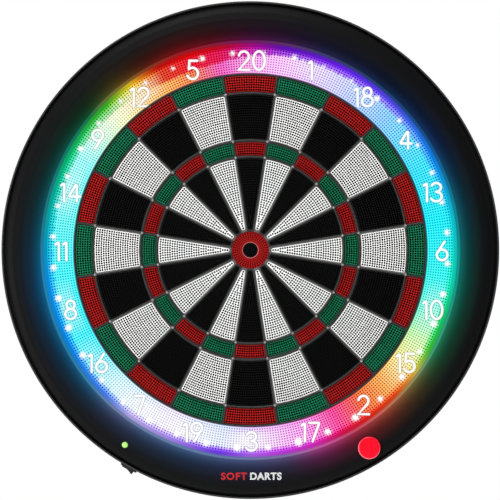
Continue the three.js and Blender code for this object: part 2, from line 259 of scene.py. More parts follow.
class Shell:
    """The points and faces of one mesh in the making. A loop runs anticlockwise."""

    def __init__(self):
        self.points = []
        self.faces = []
        self.flat = []

    def add(self, face, flat=False):
        face = tuple(dict.fromkeys(face))
        if len(face) > 2:
            self.faces.append(face)
            self.flat.append(flat)

    def loop(self, outline, height):
        first = len(self.points)
        self.points += [(x, y, height) for x, y in outline]
        return list(range(first, len(self.points)))

    def ring(self, radius, height, sides):
        """A round loop, or one point repeated on the axis."""
        if radius > 0:
            return self.loop(circle(radius, sides), height)
        return self.loop([(0.0, 0.0)], height) * sides

    def rings(self, profile, sides):
        return [self.ring(radius, height, sides) for radius, height in profile]

    def bridge(self, lower, upper, flat=False):
        """Side faces between two loops, which look outward. Swapped, they look inward."""
        for i, a in enumerate(lower):
            j = (i + 1) % len(lower)
            self.add((a, lower[j], upper[j], upper[i]), flat)

    def stack(self, loops):
        for lower, upper in zip(loops, loops[1:]):
            self.bridge(lower, upper)

    def lid(self, loop, flat=True):
        self.add(loop, flat)

    def floor(self, loop):
        self.add(tuple(reversed(loop)), True)

    def skin(self, outer, holes, up=True):
        """A flat face inside a loop, with holes in it."""
        loops = [outer, *holes]
        outlines = [[self.points[i][:2] for i in loop] for loop in loops]
        owner = []
        ids = []
        edges = []
        for number, loop in enumerate(loops):
            first = len(ids)
            ids += loop
            owner += [number] * len(loop)
            edges += [(first + i, first + (i + 1) % len(loop)) for i in range(len(loop))]
        flat_points = [Vector(self.points[i][:2]) for i in ids]
        _, _, triangles, origins, _, _ = delaunay_2d_cdt(flat_points, edges, [], 0, 1e-7)
        for triangle in triangles:
            corners = [origins[i][0] for i in triangle]
            owners = {owner[i] for i in corners}
            a, b, c = (flat_points[i] for i in corners)
            if len(owners) == 1:
                number = owners.pop()
                middle = (a + b + c) / 3
                if inside(outlines[number], *middle) != (number == 0):
                    continue
            if ((b - a).cross(c - a) < 0) == up:
                corners.reverse()
            self.add([ids[i] for i in corners], True)

    def holes(self, centres, height, rings=HOLE_RINGS, width=1.0):
        """Blind holes below a face, their width times that of the usual. Returns their top loops."""
        tops = []
        start = math.pi / HOLE_SIDES
        for centre in centres:
            loops = [
                self.loop(circle(width * r, HOLE_SIDES, centre, start), height - depth)
                for r, depth in rings
            ]
            self.stack(loops)
            self.lid(loops[-1])
            tops.append(loops[0])
        return tops

    def placed(self, change):
        """A copy with its points changed by a function of their array."""
        copy = Shell()
        copy.points = change(np.array(self.points, float))
        copy.faces = list(self.faces)
        copy.flat = list(self.flat)
        return copy

    def at_clock(self, clock):
        """A copy turned from the top of the board to a clock angle."""
        sine, cosine = polar(1.0, clock)
        turn = np.array([[cosine, -sine, 0], [sine, cosine, 0], [0, 0, 1]])
        return self.placed(lambda points: points @ turn)

    def moved(self, x, y, height=0.0):
        return self.placed(lambda points: points + (x, y, height))

    def along_y(self, towards=1):
        """A copy whose height axis points along y, or against it."""
        return self.placed(
            lambda p: np.stack([p[:, 0], towards * p[:, 2], -towards * p[:, 1]], axis=1)
        )


def joined(shells):
    """One shell that holds several separate bodies."""
    whole = Shell()
    whole.points = np.concatenate([np.array(s.points, float) for s in shells])
    start = 0
    for shell in shells:
        whole.faces += [tuple(i + start for i in face) for face in shell.faces]
        whole.flat += shell.flat
        start += len(shell.points)
    return whole


def turned(profile, sides=FINE):
    """A solid turned from (radius, height) points, anticlockwise, closed or from axis to axis."""
    shell = Shell()
    loops = shell.rings(profile, sides)
    if profile[0][0] > 0:
        loops.append(loops[0])
    shell.stack(loops)
    return shell


def slab(outline, low, high, edge=0.0, holes=()):
    """An outline given thickness, its edges rounded where edge is more than nothing."""
    shell = Shell()
    steps = [(edge, low), (0.29 * edge, low + 0.29 * edge), (0.0, low + edge)]
    steps += [(0.0, high - edge), (0.29 * edge, high - 0.29 * edge), (edge, high)]
    if edge == 0:
        steps = [(0.0, low), (0.0, high)]
    around = [shell.loop(shrunk(outline, by), height) for by, height in steps]
    shell.stack(around)
    windows = [[shell.loop(shrunk(hole, -by), h) for by, h in steps] for hole in holes]
    for window in windows:
        shell.stack(window[::-1])
    shell.skin(around[-1], [window[-1] for window in windows])
    shell.skin(around[0], [window[0] for window in windows], up=False)
    return shell


def shrunk(outline, by):
    """An outline with each point moved inward, square to its neighbours."""
    if by == 0:
        return list(outline)
    points = []
    for i, here in enumerate(outline):
        before = (Vector(here) - Vector(outline[i - 1])).normalized()
        after = (Vector(outline[(i + 1) % len(outline)]) - Vector(here)).normalized()
        inward = Vector((-before.y - after.y, before.x + after.x)).normalized()
        stretch = 1 / max(0.5, math.cos(before.angle(after, 0.0) / 2))
        points.append((here[0] + inward.x * by * stretch, here[1] + inward.y * by * stretch))
    return points


def box_outline(width, depth, centre=(0.0, 0.0), corner=0.0):
    x, y = centre
    w, d = width / 2, depth / 2
    outline = [(x - w, y - d), (x + w, y - d), (x + w, y + d), (x - w, y + d)]
    return rounded(outline, corner) if corner else outline


def discs(radius, sides, places, low, high, edge=0.0):
    """Upright round slabs at several places."""
    return [slab(circle(radius, sides, at), low, high, edge) for at in places]


# ---- pieces


def to_row_frame(points):
    """Face-frame millimetres as metres in the row frame."""
    points = np.asarray(points, float) * MM
    return np.stack([points[:, 0], -points[:, 2], points[:, 1]], axis=1)


def new_object(name, data):
    obj = bpy.data.objects.new(name, data)
    bpy.context.scene.collection.objects.link(obj)
    return obj


def evaluated_mesh(obj):
    """The mesh that an object's modifiers or letters come out as."""
    graph = bpy.context.evaluated_depsgraph_get()
    return bpy.data.meshes.new_from_object(obj.evaluated_get(graph), depsgraph=graph)


def mesh_object(name, shell):
    mesh = bpy.data.meshes.new(name)
    mesh.from_pydata(to_row_frame(shell.points).tolist(), [], shell.faces)
    mesh.polygons.foreach_set("use_smooth", [not flat for flat in shell.flat])
    mesh.update()
    mesh.set_sharp_from_angle(angle=SHARP_ANGLE)
    return new_object(name, mesh)


def finished(obj, look, body, slot, *replaced):
    """Gives a piece its look and its place in the assembly."""
    obj.data.materials.clear()
    obj.data.materials.append(look.material)
    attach(obj, body)
    if replaced:
        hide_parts(*replaced)


def piece(name, shell, look, body, slot, *replaced):
    finished(mesh_object(name, shell), look, body, slot, *replaced)


def combined(obj, operation, shells):
    """Joins shells to an object, or cuts them from it."""
    tool = mesh_object("tool", joined(shells))
    step = obj.modifiers.new("step", "BOOLEAN")
    step.operation = operation
    step.solver = "EXACT"
    step.object = tool
    mesh = evaluated_mesh(obj)
    obj.modifiers.clear()
    obj.data = mesh
    bpy.data.objects.remove(tool)
    mesh.set_sharp_from_angle(angle=SHARP_ANGLE)


# ---- materials


def srgb(red, green, blue):
    """A screen colour from 0 to 255 as the linear colour that nodes use."""
    def linear(value):
        value /= 255
        return value / 12.92 if value <= 0.04045 else ((value + 0.055) / 1.055) ** 2.4

    return (linear(red), linear(green), linear(blue), 1.0)


def scaled(colour, factor):
    return (*(min(1.0, channel * factor) for channel in colour[:3]), 1.0)


WHITE = (1.0, 1.0, 1.0, 1.0)
CASE_COLOUR = srgb(15, 15, 16)

# The LEDs' colours round the ring. Each stop is a clock angle, then red, green and blue.
RING_INNER_COLOURS = [
    (0, 245, 185, 235), (9, 247, 207, 250), (27, 222, 220, 252), (45, 165, 215, 252),
    (63, 86, 230, 250), (81, 45, 238, 248), (99, 82, 243, 240), (109, 150, 246, 228),
    (117, 210, 245, 195), (126, 245, 235, 170), (135, 244, 190, 115), (144, 242, 130, 80),
    (153, 243, 95, 175), (162, 245, 165, 232), (171, 240, 195, 243), (189, 222, 232, 250),
    (207, 242, 236, 250), (225, 215, 244, 252), (234, 150, 240, 250), (243, 88, 240, 250),
    (261, 92, 242, 248), (279, 132, 244, 245), (297, 164, 248, 248), (315, 244, 250, 215),
    (333, 248, 195, 120), (342, 238, 150, 105), (351, 238, 120, 205), (360, 245, 185, 235),
]
RING_OUTER_COLOURS = [
    (0, 215, 50, 190), (9, 172, 76, 222), (27, 170, 108, 246), (45, 155, 150, 245),
    (54, 120, 180, 246), (63, 75, 190, 246), (81, 42, 230, 238), (99, 60, 238, 220),
    (112, 95, 230, 165), (119, 140, 226, 130), (126, 240, 225, 150), (135, 243, 150, 85),
    (144, 242, 115, 85), (153, 238, 60, 150), (162, 236, 115, 225), (171, 225, 135, 242),
    (180, 215, 170, 248), (189, 180, 135, 245), (202, 212, 195, 248), (216, 225, 218, 248),
    (225, 150, 190, 248), (243, 60, 195, 245), (261, 60, 202, 245), (279, 35, 214, 218),
    (297, 55, 222, 180), (315, 135, 216, 110), (324, 245, 224, 110), (333, 226, 85, 50),
    (342, 238, 30, 62), (351, 228, 24, 105), (360, 215, 50, 190),
]
# Where the outer colours begin: a clock angle, and a distance from the centre in mm.
RING_BORDER = [
    (0, 217), (9, 220), (60, 221), (165, 223), (225, 222), (300, 220), (318, 216), (333, 210),
    (348, 211), (360, 217),
]
BORDER_BASE = 200
BORDER_SPAN = 30
# How far the white light of the numerals washes the ring: a clock angle, and from 0 to 1.
RING_WASH = [
    (9, 0.0), (18, 0.35), (28, 0.0), (99, 0.0), (108, 0.3), (117, 0.1), (126, 0.25), (135, 0.0),
    (160, 0.0), (171, 0.25), (181, 0.9), (189, 0.3), (199, 0.85), (207, 0.5), (215, 0.8),
    (225, 0.3), (234, 0.25), (243, 0.0), (252, 0.45), (262, 0.0), (279, 0.0), (288, 0.5),
    (298, 0.1), (308, 0.4), (316, 0.3), (325, 0.5), (333, 0.0),
]
# The painted light that spills from the ring's clear edge over the bezel, given off as a glow.
SPILL_COLOURS = [
    (0, 112, 25, 97), (20, 60, 60, 108), (40, 27, 64, 108), (60, 21, 82, 140), (80, 14, 132, 148),
    (100, 16, 154, 138), (120, 62, 160, 116), (130, 154, 138, 86), (140, 198, 104, 84),
    (150, 198, 70, 100), (160, 194, 86, 160), (170, 124, 112, 162), (180, 106, 118, 166),
    (200, 92, 126, 168), (220, 112, 128, 170), (230, 58, 130, 172), (240, 40, 124, 166),
    (260, 34, 134, 182), (280, 30, 120, 136), (300, 20, 118, 100), (310, 26, 114, 72),
    (320, 124, 112, 48), (330, 130, 56, 30), (340, 158, 24, 34), (350, 134, 28, 56),
    (360, 112, 25, 97),
]
# Where that light begins, and over what distance it fades to a third, in mm.
SPILL_START = 237.0
SPILL_LENGTH = 8.0
# The radius that it doesn't reach, and the one from which it fades faster towards that.
SPILL_END = (268.0, 252.0)
# Painted shade: the bezel darkens inward from the first radius to the second.
BEZEL_SHADE = (254.0, 243.0)


class Signal:
    """A number that a material's nodes work out, for use in ordinary arithmetic."""

    def __init__(self, look, socket):
        self.look = look
        self.socket = socket

    def __add__(self, other):
        return self.look.math("ADD", self, other)

    def __sub__(self, other):
        return self.look.math("SUBTRACT", self, other)

    def __mul__(self, other):
        return self.look.math("MULTIPLY", self, other)

    def __truediv__(self, other):
        return self.look.math("DIVIDE", self, other)

    def smooth(self, start, end, low=0.0, high=1.0):
        """A smooth change from low to high as the number goes from start to end."""
        inputs = {"Value": self, "From Min": start, "From Max": end, "To Min": low, "To Max": high}
        return self.look.signal("MapRange", "Result", inputs, interpolation_type="SMOOTHSTEP")


class Look:
    """A material whose nodes are wired by short calls."""

    def __init__(self, name):
        self.material = bpy.data.materials.new(name)
        self.material.use_nodes = True
        self.tree = self.material.node_tree
        self.shader = self.tree.nodes["Principled BSDF"]

    def feed(self, socket, value):
        if isinstance(value, Signal):
            value = value.socket
        if isinstance(value, bpy.types.NodeSocket):
            self.tree.links.new(value, socket)
        else:
            socket.default_value = value

    def node(self, kind, inputs=(), **settings):
        node = self.tree.nodes.new("ShaderNode" + kind)
        for key, value in settings.items():
            setattr(node, key, value)
        for key, value in dict(inputs).items():
            self.feed(node.inputs[key], value)
        return node

    def signal(self, kind, output, inputs=(), **settings):
        return Signal(self, self.node(kind, inputs, **settings).outputs[output])

    def set(self, **inputs):
        """Sets or links the shader's sockets: base_color=... is its Base Color."""
        for key, value in inputs.items():
            self.feed(self.shader.inputs[key.replace("_", " ").title().replace("Ior", "IOR")], value)

    def face(self):
        """The base colour so far."""
        return self.shader.inputs["Base Color"].links[0].from_socket

    def math(self, operation, *values):
        return self.signal("Math", 0, enumerate(values), operation=operation)

    def mix(self, factor, first, second):
        return self.node("Mix", {0: factor, 6: first, 7: second}, data_type="RGBA").outputs[2]

    def times(self, colour, factor):
        grey = self.node("CombineColor", {0: factor, 1: factor, 2: factor}).outputs[0]
        inputs = {0: 1.0, 6: colour, 7: grey}
        return self.node("Mix", inputs, data_type="RGBA", blend_type="MULTIPLY").outputs[2]

    def gamma(self, colour, power):
        return self.node("Gamma", {"Color": colour, "Gamma": power}).outputs[0]

    def place(self):
        """The object's own coordinates, in metres in the row frame."""
        return self.node("TexCoord").outputs["Object"]

    def noise(self, size, detail=3.0, roughness=0.5):
        """Noise whose features are about this many millimetres across."""
        inputs = {"Vector": self.place(), "Scale": 1 / (size * MM)}
        inputs |= {"Detail": detail, "Roughness": roughness}
        return self.signal("TexNoise", "Fac", inputs)

    def axes(self):
        """How far to the right, up, and forward from the wall, in mm."""
        split = self.node("SeparateXYZ", {0: self.place()}).outputs
        return [Signal(self, split[i]) * (sign / MM) for i, sign in ((0, 1), (2, 1), (1, -1))]

    def coordinates(self):
        """Radius and height in mm, and the clock angle from 0 to 1."""
        across, up, height = self.axes()
        turns = self.math("ARCTAN2", across, up) / (2 * math.pi)
        return self.math("SQRT", across * across + up * up), height, self.math("FRACT", turns + 1.0)

    def ramp(self, clock, stops):
        node = self.node("ValToRGB", {0: clock})
        elements = node.color_ramp.elements
        while len(elements) < len(stops):
            elements.new(0.5)
        for element, (at, _) in zip(elements, stops):
            element.position = at / 360
        for element, (at, colour) in zip(elements, stops):
            element.position = at / 360
            element.color = colour
        return node.outputs[0]

    def colours(self, clock, stops):
        return self.ramp(clock, [(at, srgb(*colour)) for at, *colour in stops])

    def levels(self, clock, stops):
        return Signal(self, self.ramp(clock, [(at, (level, level, level, 1.0)) for at, level in stops]))

    def bump(self, height, strength, distance):
        inputs = {"Strength": strength, "Distance": distance * MM, "Height": height}
        self.set(normal=self.node("Bump", inputs).outputs[0])


def plastic(name, colour, roughness, grain=0.35, mottle=0.06, bump=0.05, specular=0.5):
    """Moulded plastic: a faint cloudiness in its colour, a fine spark-eroded grain."""
    look = Look(name)
    cloud = look.noise(14, 4.0)
    speck = look.noise(grain, 2.0)
    look.set(
        base_color=look.mix(cloud, scaled(colour, 1 - mottle), scaled(colour, 1 + mottle)),
        roughness=speck.smooth(0.25, 0.75, roughness - 0.06, roughness + 0.06),
        specular_ior_level=specular,
    )
    look.bump(speck, 0.35, bump)
    return look


def segment_plastic(name, colour, roughness=0.45, specular=0.12, painted_glow=0.0):
    """Segment plastic, with painted shade down in its holes and along the edges of a scoring ring."""
    look = plastic(name, colour, roughness, grain=0.5, mottle=0.03, bump=0.02, specular=specular)
    radius, height, _ = look.coordinates()
    face = look.face()
    # Painted shade: darker down in the holes.
    shade = height.smooth(SEGMENT_FACE - 1.2, SEGMENT_FACE - 0.08, 0.02, 1.0)
    lit = shade
    # Painted shade along the inner and outer edges of the doubles and triples.
    for band in ("double", "triple"):
        inner, outer = BANDS[band][:2]
        half = (outer - inner) / 2
        away = look.math("ABSOLUTE", radius - (inner + outer) / 2)
        edge = away.smooth(half - 3.0, half, 1.0, 0.6)
        lit = lit * look.math("MAXIMUM", edge, away.smooth(half + 1.0, half + 2.0))
    look.set(base_color=look.times(face, lit))
    # A painted glow: the face gives off its own colour as light, though it is no lamp.
    if painted_glow:
        look.set(emission_color=look.times(face, shade), emission_strength=painted_glow)
    return look


def bull_plastic():
    """The outer bull's red, with a painted highlight: a paler line round its inner edge."""
    look = segment_plastic("bull_red", srgb(172, 28, 26))
    radius, height, _ = look.coordinates()
    edge = radius.smooth(OUTER_BULL[0] + 0.9, OUTER_BULL[0] + 0.4)
    edge = edge * height.smooth(SEGMENT_FACE - 0.8, SEGMENT_FACE - 0.3, 0.0, 0.6)
    look.set(base_color=look.mix(edge, look.face(), srgb(240, 150, 150)))
    return look


def web_plastic():
    """The web's grey plastic, with painted light along its sides where the white segments light them
    up.
    """
    look = plastic("web_grey", srgb(50, 49, 48), 0.4, grain=0.6, mottle=0.05, bump=0.03, specular=0.3)
    radius, _, clock = look.coordinates()
    wave = look.math("SINE", (clock - SECTOR_DEGREES / 720) * (20 * math.pi))
    towards_white = wave * radius * 0.1
    near = towards_white.smooth(-0.4, 1.3) * towards_white.smooth(3.2, 2.2)
    within = radius.smooth(BANDS["inner_single"][1] + 1.0, BANDS["inner_single"][1] - 0.5)
    start, end = BANDS["outer_single"][:2]
    beside = look.math("MAXIMUM", within, radius.smooth(start - 2.4, start - 0.9))
    beside = beside * radius.smooth(end + 2.6, end + 1.1)
    # Painted light: paler where the white segments throw light on the spokes.
    look.set(base_color=look.mix(near * beside, look.face(), srgb(101, 101, 99)))
    return look


def metal(name, colour, roughness, grain=2.0):
    """Bright metal with a faint drawn grain."""
    look = Look(name)
    streaks = look.noise(grain, 5.0)
    look.set(
        base_color=look.mix(streaks, scaled(colour, 0.85), scaled(colour, 1.1)),
        metallic=1.0,
        roughness=streaks.smooth(0.2, 0.8, roughness - 0.08, roughness + 0.1),
    )
    look.bump(streaks, 0.2, 0.02)
    return look


def ring_light(look, radius, clock):
    """The ring's colour, which is deeper towards its ragged outer edge."""
    inputs = {"W": clock * 360.0, "Scale": 1.0, "Detail": 3.0}
    ragged = look.signal("TexNoise", "Fac", inputs, noise_dimensions="1D")
    stops = [(at, (border - BORDER_BASE) / BORDER_SPAN) for at, border in RING_BORDER]
    past = radius - (look.levels(clock, stops) * BORDER_SPAN + ragged * 6.0)
    outward = past.smooth(BORDER_BASE - 4.5, BORDER_BASE - 1)
    inner = look.colours(clock, RING_INNER_COLOURS)
    colour = look.mix(outward, inner, look.colours(clock, RING_OUTER_COLOURS))
    return look.gamma(colour, radius.smooth(224.0, 229.0, 1.15, 2.3))


def lit_diffuser():
    """The number ring: milky plastic lit from behind by coloured LEDs."""
    look = Look("lit_diffuser")
    radius, height, clock = look.coordinates()
    line = ring_light(look, radius, clock)

    # Round most numerals the ring is washed with white.
    spread = radius + look.noise(4.0, 2.0) * 6.0
    wash = look.levels(clock, RING_WASH) * spread.smooth(203.0, 211.0) * spread.smooth(228.0, 222.0)

    # The LEDs themselves show as ragged white spots, of many sizes, larger towards the bottom.
    turns = (clock - FIRST_LED / 360) * LED_COUNT + 0.5
    sideways = (look.math("FRACT", turns) - 0.5) * radius * math.radians(LED_STEP)
    inward = radius - LED_RADIUS
    number = {"W": look.math("FLOOR", turns)}
    chance = look.signal("TexWhiteNoise", "Value", number, noise_dimensions="1D")
    down = look.math("COSINE", clock * (2 * math.pi))
    distance = look.math("SQRT", sideways * sideways + inward * inward)
    distance = distance + look.noise(2.2, 2.0) * -5.0 + chance * 1.5 + (down * 0.9 + 0.9)
    wash = look.math("MAXIMUM", wash, distance.smooth(4.5, 0.8, 0.0, 0.75))

    deep = look.times(look.gamma(line, 2.6), 0.72)
    hole = look.mix(wash * wash, deep, (0.85, 0.85, 0.85, 1.0))
    between = look.mix(wash, look.times(line, 1.2), WHITE)
    depth = height.smooth(NUMBER_FACE - 0.02, NUMBER_FACE - 0.3)
    cloud = look.noise(9, 3.0)
    look.set(
        base_color=look.mix(cloud, (0.008, 0.008, 0.008, 1), (0.014, 0.014, 0.014, 1)),
        roughness=cloud.smooth(0.3, 0.7, 0.5, 0.6),
        specular_ior_level=0.05,
        emission_color=look.mix(distance.smooth(1.6, 0.6), look.mix(depth, between, hole), WHITE),
        emission_strength=1.0,
    )
    return look


def numeral_light(name):
    """The numerals: white windows in the ring."""
    look = Look(name)
    look.set(
        base_color=look.mix(look.noise(4), (0.01, 0.01, 0.01, 1), (0.02, 0.02, 0.02, 1)),
        roughness=0.5,
        specular_ior_level=0.05,
        emission_color=WHITE,
        emission_strength=1.0,
    )
    return look


def numeral_edge():
    """A painted shadow: the darker line round the numerals."""
    look = numeral_light("numeral_edge")
    radius, _, clock = look.coordinates()
    look.set(emission_color=look.times(ring_light(look, radius, clock), 0.6))
    return look


def guide_light():
    """The clear ring round the numbers: the ring's light, a pale line, then a dark edge."""
    look = Look("light_guide")
    radius, _, clock = look.coordinates()
    start = GUIDE[0]
    inner = look.times(ring_light(look, radius, clock), 0.82)
    brightness = radius.smooth(start + 4.2, start + 5.2, 0.8, 1.05)
    brightness = brightness * radius.smooth(start + 5.4, start + 7.4, 1.0, 0.4)
    outer = look.times(look.colours(clock, SPILL_COLOURS), brightness)
    look.set(
        base_color=look.mix(look.noise(6), (0.002, 0.002, 0.003, 1), (0.004, 0.004, 0.005, 1)),
        roughness=0.3,
        specular_ior_level=0.02,
        emission_color=look.mix(radius.smooth(start + 2.2, start + 4.4), inner, outer),
        emission_strength=1.0,
    )
    return look


def bezel_plastic():
    """Case plastic, darkened inward by painted shade, with the ring's light painted on its inner edge
    as a glow.
    """
    look = plastic("case_black_lit", CASE_COLOUR, 0.5, grain=0.4, mottle=0.08, bump=0.03, specular=0.07)
    radius, _, clock = look.coordinates()
    # Painted light: the ring's coloured spill, given off as a glow.
    spill = look.gamma(look.colours(clock, SPILL_COLOURS), 1.3)
    fade = look.math("EXPONENT", look.math("SUBTRACT", SPILL_START, radius) / SPILL_LENGTH)
    # Painted shade, darker inward.
    slope = radius.smooth(*BEZEL_SHADE)
    look.set(
        base_color=look.mix(slope, look.face(), scaled(CASE_COLOUR, 0.2)),
        emission_color=look.times(spill, fade * radius.smooth(*SPILL_END)),
        emission_strength=0.5,
    )
    return look


def housing_plastic():
    """Case plastic, a little paler along the front edge of the rim: a painted highlight."""
    look = plastic("case_black_rim", CASE_COLOUR, 0.5, grain=0.4, mottle=0.08, bump=0.04, specular=0.25)
    radius, height, _ = look.coordinates()
    front = height_range("rear_housing")[1]
    edge = radius.smooth(CASE_RADIUS - 2.6, CASE_RADIUS - 1.2) * height.smooth(front - 4.0, front - 1.0)
    look.set(base_color=look.mix(edge, look.face(), srgb(62, 62, 62)))
    return look


def circuit_board():
    """Green solder mask over a net of tracks."""
    look = Look("circuit_board")
    bricks = {"Vector": look.place(), "Scale": 250.0, "Mortar Size": 0.03}
    tracks = look.signal("TexBrick", "Fac", bricks)
    look.set(
        base_color=look.mix(tracks, srgb(24, 92, 52), srgb(52, 128, 78)),
        roughness=look.noise(3).smooth(0.3, 0.7, 0.3, 0.42),
    )
    look.bump(tracks, 0.3, 0.05)
    return look


def fibre_board():
    look = Look("fibre_board")
    fibres = look.noise(1.5, 8.0, 0.7)
    look.set(
        base_color=look.mix(fibres, srgb(88, 60, 38), srgb(132, 98, 64)),
        roughness=fibres.smooth(0.2, 0.8, 0.75, 0.95),
    )
    look.bump(fibres, 0.5, 0.1)
    return look


def button_red():
    """The button: glossy red with a painted highlight on its edge, palest at its lower left."""
    look = plastic("button_red", srgb(244, 0, 36), 0.3, grain=1.0, mottle=0.04, bump=0.0, specular=0.4)
    x, y = polar(*BUTTON_AT)
    across, up, _ = look.axes()
    across = across - x
    up = up - y
    distance = look.math("SQRT", across * across + up * up)
    below = up * -1.0 - across * 0.35
    edge = distance.smooth(BUTTON_RADIUS - 1.3, BUTTON_RADIUS - 0.7)
    edge = edge * below.smooth(-9.0, 7.0, 0.15, 1.0)
    # A painted highlight makes the edge paler, and a faint painted glow, weaker on the edge, brightens
    # the red, though the button is no lamp.
    look.set(
        base_color=look.mix(edge, look.face(), srgb(255, 120, 140)),
        emission_color=srgb(255, 0, 30),
        emission_strength=edge.smooth(0.0, 1.0, 0.16, 0.05),
    )
    return look


def power_lens():
    """The power light's lens, brightest in the middle."""
    look = Look("led_lens")
    facing = look.signal("LayerWeight", "Facing", {"Blend": 0.4})
    look.set(
        base_color=look.mix(look.noise(2), srgb(120, 190, 80), srgb(150, 215, 110)),
        roughness=0.15,
        emission_color=look.mix(facing, srgb(188, 240, 130), srgb(70, 150, 40)),
        emission_strength=0.62,
    )
    return look


HOUSING_BLACK = housing_plastic()
BEZEL_BLACK = bezel_plastic()
WEB_GREY = web_plastic()
# The nubs are the web's plastic painted paler: a painted glint on each.
NUB_PAINTED_GLINT = plastic("web_nub", srgb(150, 148, 146), 0.25, grain=0.6, mottle=0.03, bump=0.0)
SEGMENT_LOOKS = {
    "segment_black": segment_plastic("segment_black", srgb(15, 15, 16)),
    # The white segments get a painted glow.
    "segment_white": segment_plastic("segment_white", srgb(250, 250, 248), 0.5, 0.3, painted_glow=0.2),
    "segment_red": segment_plastic("segment_red", srgb(188, 32, 30)),
    "segment_green": segment_plastic("segment_green", srgb(27, 128, 88)),
}
LIT_DIFFUSER = lit_diffuser()
BULL_RED = bull_plastic()
NUMERAL_LIGHT = numeral_light("numeral_light")
NUMERAL_PAINTED_SHADOW = numeral_edge()
GUIDE_LIGHT = guide_light()
CIRCUIT_BOARD = circuit_board()
BOARD_WHITE = plastic("board_white", srgb(220, 220, 214), 0.5)
MAT_RUBBER = plastic("mat_rubber", srgb(34, 34, 35), 0.85, grain=1.2, bump=0.1, specular=0.3)
MEMBRANE_FILM = plastic("membrane_film", srgb(206, 184, 130), 0.3, grain=3.0, bump=0.0)
FIBRE_BOARD = fibre_board()
BUTTON_RED = button_red()
POWER_LENS = power_lens()
SWITCH_BLACK = plastic("switch_black", srgb(22, 22, 23), 0.4, grain=0.5, bump=0.02, specular=0.4)
STEEL = metal("steel", srgb(196, 198, 200), 0.3)
PRINT_WHITE = plastic("print_white", srgb(226, 226, 226), 0.5, grain=0.3, bump=0.01)
PRINT_RED = plastic("print_red", srgb(196, 22, 34), 0.5, grain=0.3, bump=0.01)


# ---- target


def segment_shell(inner, outer, pitch, equal_rows):
    """One segment at the top of the board, with its dart holes and the lip that holds it in."""
    inset = SPOKE_WIDTH / 2 + CLEARANCE
    steps = [(-0.9, SEGMENT_BASE), (-0.9, SEGMENT_BASE + 1.2), (0.0, SEGMENT_BASE + 1.3)]
    steps += [(0.0, SEGMENT_FACE - 0.95), (0.12, SEGMENT_FACE - 0.5)]
    steps += [(0.42, SEGMENT_FACE - 0.16), (0.95, SEGMENT_FACE)]
    shell = Shell()
    around = [
        shell.loop(sector(inner + by, outer - by, inset + by, SEGMENT_CORNER - by), height)
        for by, height in steps
    ]
    shell.floor(around[0])
    shell.stack(around)
    shell.skin(around[-1], shell.holes(hole_grid(inner, outer, pitch, equal_rows), SEGMENT_FACE))
    return shell


def make_segments():
    """The 80 segments. Black numbers have red doubles and triples, white ones have green."""
    for band, (inner, outer, pitch, equal_rows) in BANDS.items():
        shell = segment_shell(inner, outer, pitch, equal_rows)
        for i, number in enumerate(SECTOR_NUMBERS):
            colours = ("red", "black") if i % 2 == 0 else ("green", "white")
            slot = "segment_" + colours[0 if band in ("double", "triple") else 1]
            outermost = band in ("double", "outer_single")
            pair = "double_and_outer_single" if outermost else "triple_and_inner_single"
            node = f"{pair}_{number:02d}"
            name = f"segment_{band}_{number:02d}"
            piece(name, shell.at_clock(i * SECTOR_DEGREES), SEGMENT_LOOKS[slot], node, slot, node)


def ring_holes(rings):
    return [polar(r, 360 * k / count) for r, count in rings for k in range(count)]


def make_bulls():
    inner, outer = OUTER_BULL
    top = SEGMENT_FACE
    shell = Shell()
    outside = [(outer + 0.5, SEGMENT_BASE), (outer + 0.5, 23.2), (outer, 23.3)]
    outside += [(outer, top - 0.6), (outer - 0.18, top - 0.18), (outer - 0.6, top)]
    inside_wall = [(inner + 0.5, top), (inner + 0.15, top - 0.15), (inner, top - 0.5)]
    inside_wall += [(inner, 24.4), (10.6, 24.4), (10.6, SEGMENT_BASE)]
    around = shell.rings(outside, 96)
    within = shell.rings(inside_wall, 96)
    shell.stack(around)
    shell.stack(within)
    shell.bridge(within[-1], around[0], flat=True)
    tops = []
    for radius, width in BULL_HOLES:
        tops += shell.holes(ring_holes([(radius, 40)]), top, width=width)
    shell.skin(around[-1], [within[0], *tops])
    piece("bull_outer", shell, BULL_RED, "outer_bull", "segment_red", "outer_bull")

    shell = Shell()
    profile = [(10.0, SEGMENT_BASE), (10.0, 22.8), (INNER_BULL, 22.9)]
    profile += [(INNER_BULL, top - 0.6), (INNER_BULL - 0.18, top - 0.18), (INNER_BULL - 0.6, top)]
    around = shell.rings(profile, 64)
    shell.floor(around[0])
    shell.stack(around)
    tops = shell.holes([(0.0, 0.0), *ring_holes([(2.9, 6), (5.7, 13)])], top)
    shell.skin(around[-1], tops)
    black = SEGMENT_LOOKS["segment_black"]
    piece("bull_inner", shell, black, "inner_bull", "segment_black", "inner_bull")


